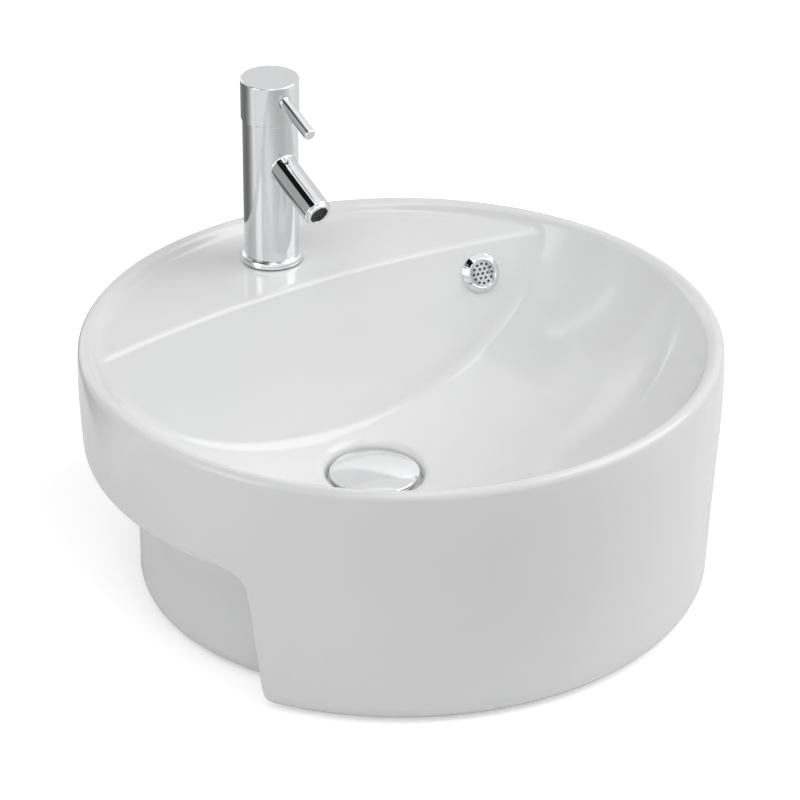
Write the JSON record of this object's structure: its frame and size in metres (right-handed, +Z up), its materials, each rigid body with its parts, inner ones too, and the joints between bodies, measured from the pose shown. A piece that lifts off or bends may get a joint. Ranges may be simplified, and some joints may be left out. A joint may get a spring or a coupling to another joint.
{
  "type": "countertop basin",
  "caption": "Round semi-recessed ceramic basin with a flat rear tap deck, an open underside, a single-lever mixer, a push waste and an overflow.",
  "frame": {"origin": "under the middle of the round rim, in the plane of the foot that the tub and the front skirt stand on", "axes": "+Z up, -Y towards the person who washes, +X to that person's right as they face the basin"},
  "size_m": [0.45, 0.4498, 0.317],
  "materials": {
    "ceramic": "gloss white glaze",
    "chrome": "polished",
    "steel": "plain",
    "brass": "machined",
    "rubber": "matt",
    "white_plastic": "moulded",
    "grey_plastic": "moulded",
    "disc_ceramic": "ground flat"
  },
  "bodies": {
    "basin": {"basin_body": "ceramic", "overflow_sleeve": "grey_plastic", "overflow_bezel": "chrome", "overflow_grille": "chrome", "waste_seat_seal": "rubber", "waste_body": "chrome", "waste_boss_seal": "rubber", "waste_washer": "white_plastic", "waste_nut": "brass", "click_housing": "white_plastic", "click_spring": "steel", "tap_base_seal": "rubber", "tap_base_ring": "chrome", "tap_body": "chrome", "aerator_seal": "rubber", "aerator_insert": "white_plastic", "aerator_housing": "chrome", "cartridge_seals": "rubber", "cartridge_base": "white_plastic", "cartridge_fixed_disc": "disc_ceramic", "cartridge_housing": "grey_plastic", "cartridge_nut": "brass", "cover_dome": "chrome", "mounting_stud": "brass", "horseshoe_gasket": "rubber", "horseshoe_washer": "steel", "mounting_nut": "brass"},
    "turning": {"cartridge_rotor": "white_plastic", "cartridge_pin": "steel"},
    "handle": {"handle_head": "chrome", "handle_lever": "chrome", "handle_grub_screw": "steel", "handle_plug": "grey_plastic", "cartridge_stem": "steel"},
    "mixing_disc": {"cartridge_carrier": "white_plastic", "cartridge_moving_disc": "disc_ceramic"},
    "cap": {"waste_cap": "chrome", "waste_cap_seal": "rubber", "waste_plunger": "steel"}
  },
  "joints": [
    {"name": "handle_turn", "type": "hinge", "parent": "basin", "child": "turning", "pos_m": [0, 0.168, 0.27], "axis": [0, 0, 1], "range_deg": [-50, 50]},
    {"name": "handle_lift", "type": "hinge", "parent": "turning", "child": "handle", "pos_m": [0, 0.168, 0.27], "axis": [-1, 0, 0], "range_deg": [0, 22]},
    {"name": "disc_slide", "type": "slide", "parent": "turning", "child": "mixing_disc", "axis": [0, -1, 0], "range_m": [0, 0.0049]},
    {"name": "waste_cap_slide", "type": "slide", "parent": "basin", "child": "cap", "axis": [0, 0, 1], "range_m": [0, 0.009], "deforming": ["click_spring"]}
  ],
  "couplings": [
    {"joint": "disc_slide", "follows": "handle_lift", "m_per_rad": 0.01252}
  ]
}
